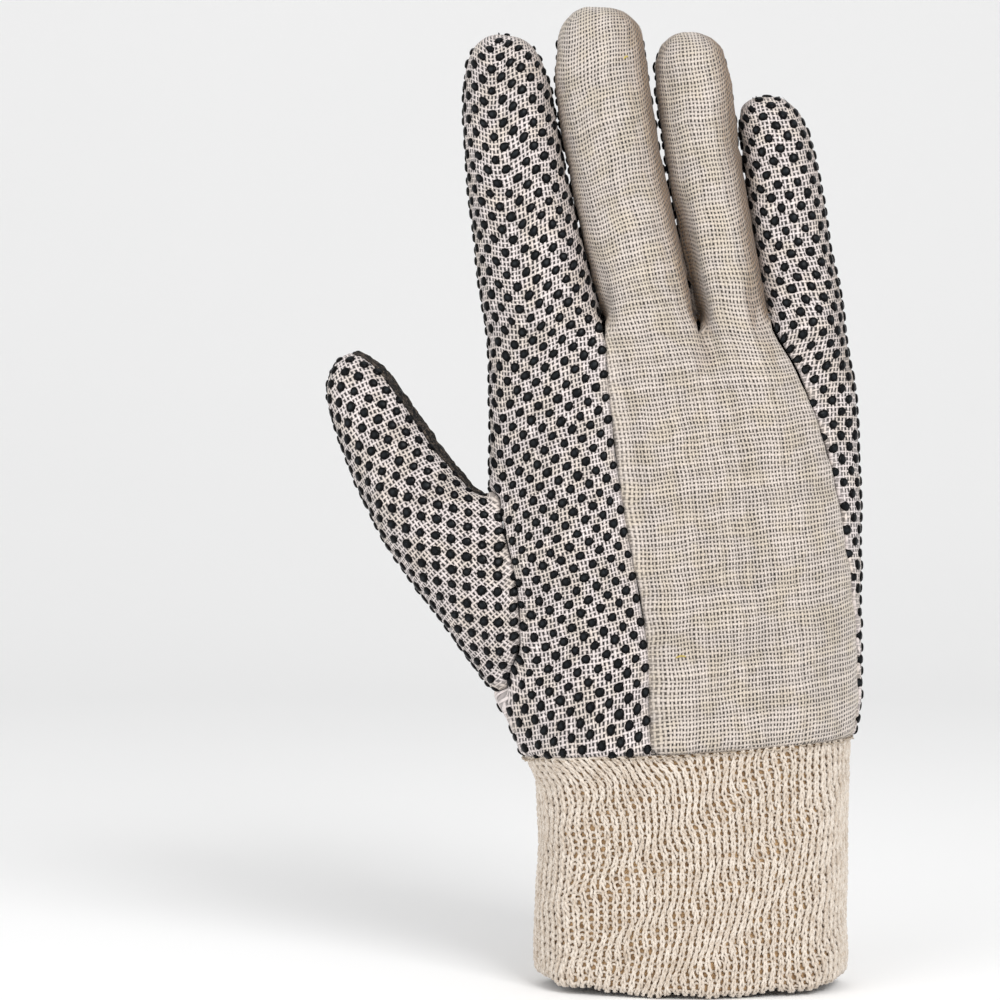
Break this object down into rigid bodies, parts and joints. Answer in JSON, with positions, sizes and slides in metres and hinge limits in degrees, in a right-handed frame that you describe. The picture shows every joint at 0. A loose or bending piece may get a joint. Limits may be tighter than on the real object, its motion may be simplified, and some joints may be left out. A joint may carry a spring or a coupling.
{
  "type": "cotton work glove",
  "caption": "Cotton work glove for the right hand, with gripping dots on the palm, fingers and thumb, a plain back and a knit wrist.",
  "frame": {"origin": "centre of the wrist opening, in the plane of the cuff's rim", "axes": "+Z from the wrist to the fingertips, -Y out of the back of the hand, -X towards the thumb"},
  "size_m": [0.1375, 0.046, 0.2506],
  "materials": {
    "dotted_cotton": "matt, open woven, with raised dots",
    "plain_cotton": "matt, close woven",
    "knit_cotton": "matt, knit",
    "grip_dots": "half gloss",
    "sewing_thread": "matt"
  },
  "bodies": {
    "root": {"palm_piece": "dotted_cotton", "back_panel": "plain_cotton", "thumb": "dotted_cotton", "knit_cuff": "knit_cotton"}
  },
  "joints": []
}
